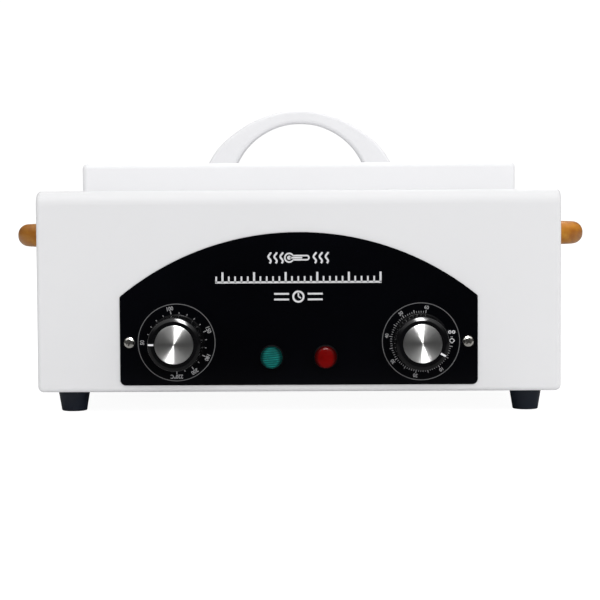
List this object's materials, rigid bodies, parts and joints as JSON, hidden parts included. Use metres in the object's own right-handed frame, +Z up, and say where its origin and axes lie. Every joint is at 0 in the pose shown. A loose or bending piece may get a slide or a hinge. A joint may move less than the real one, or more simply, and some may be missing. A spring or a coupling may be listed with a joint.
{
  "type": "dry heat sterilizer",
  "caption": "Bench-top dry-heat sterilizer cabinet with a heated steel tank, lift-off lid, lift-out tray, thermostat knob and timer knob.",
  "frame": {"origin": "on the table, under the middle of the overall footprint (cabinet, knobs and the tied mains cord behind it)", "axes": "+Z up, the control panel faces -Y, +X to the right seen from the front"},
  "size_m": [0.3678, 0.2944, 0.187],
  "materials": {
    "powder_coat": "white powder coat, satin",
    "white_plastic": "white moulded plastic",
    "amber_bakelite": "orange-brown heat-resistant moulding",
    "panel_black": "gloss black print on aluminium plate",
    "knob_black": "black moulded phenolic",
    "spun_aluminium": "spun face",
    "nickel": "nickel plated",
    "zinc": "zinc plated",
    "stainless": "brushed stainless",
    "galvanised": "galvanised",
    "brass": "bright",
    "copper": "drawn",
    "green_lens": "translucent green",
    "red_lens": "translucent red",
    "black_nylon": "moulded nylon",
    "lamp_glass": "clear",
    "rubber": "moulded rubber",
    "mica": "mica laminate",
    "glass_fibre": "needled glass-fibre mat",
    "ceramic": "glazed steatite",
    "wire_brown": "brown sleeve",
    "wire_blue": "blue sleeve",
    "wire_white": "white sleeve",
    "wire_earth": "green and yellow sleeve",
    "cord_black": "black sheath"
  },
  "bodies": {
    "cabinet": {"base_screws": "zinc", "bottom_plate": "galvanised", "bulb_clips": "zinc", "capillary_bulb": "copper", "control_panel": "panel_black", "cord_strain_relief": "black_nylon", "cord_tie": "black_nylon", "earth_screw": "zinc", "earth_wire": "wire_earth", "foot_nuts": "zinc", "foot_screws": "zinc", "green_lamp_body": "black_nylon", "green_lamp_lens": "green_lens", "heat_shield": "galvanised", "heat_shield_screws": "zinc", "heater_clamp_nuts": "zinc", "heater_clamp_plate": "galvanised", "heating_element": "mica", "inner_tank": "stainless", "insulation_base_pad": "glass_fibre", "insulation_wrap": "glass_fibre", "lamp_clips": "zinc", "lamp_wiring": "wire_white", "left_side_handle": "amber_bakelite", "live_wiring": "wire_brown", "mains_plug": "black_nylon", "neon_bulbs": "lamp_glass", "neutral_wiring": "wire_blue", "outer_shell": "powder_coat", "panel_screws": "nickel", "plug_pins": "brass", "power_cord": "cord_black", "red_lamp_body": "black_nylon", "red_lamp_lens": "red_lens", "right_side_handle": "amber_bakelite", "rubber_feet": "rubber", "side_handle_screws": "zinc", "tank_rivets": "nickel", "terminal_block": "ceramic", "terminal_screws": "brass", "thermal_fuse": "nickel", "thermostat_body": "zinc", "thermostat_nut": "zinc", "timer_bell": "nickel", "timer_body": "black_nylon", "timer_nut": "zinc"},
    "lid": {"lid_shell": "powder_coat", "lid_liner": "stainless", "lid_insulation": "glass_fibre", "lid_handle": "white_plastic", "lid_handle_screws": "zinc"},
    "tray": {"instrument_tray": "stainless", "tray_handles": "stainless"},
    "temperature_control": {"temperature_knob": "knob_black", "temperature_knob_cap": "spun_aluminium", "thermostat_shaft": "brass"},
    "timer_control": {"timer_knob": "knob_black", "timer_knob_cap": "spun_aluminium", "timer_shaft": "brass"}
  },
  "joints": [
    {"name": "lid_lift", "type": "slide", "parent": "cabinet", "child": "lid", "axis": [0, 0, 1], "range_m": [0, 0.18]},
    {"name": "tray_lift", "type": "slide", "parent": "cabinet", "child": "tray", "axis": [0, 0, 1], "range_m": [0, 0.081]},
    {"name": "temperature_turn", "type": "hinge", "parent": "cabinet", "child": "temperature_control", "pos_m": [-0.0736, -0.1364, 0.04315], "axis": [0, 1, 0], "range_deg": [0, 270]},
    {"name": "timer_turn", "type": "hinge", "parent": "cabinet", "child": "timer_control", "pos_m": [0.0736, -0.1364, 0.04315], "axis": [0, 1, 0], "range_deg": [-45, 250.5]}
  ],
  "couplings": [
    {"joint": "tray_lift", "follows": "lid_lift", "ratio": 0.45}
  ]
}
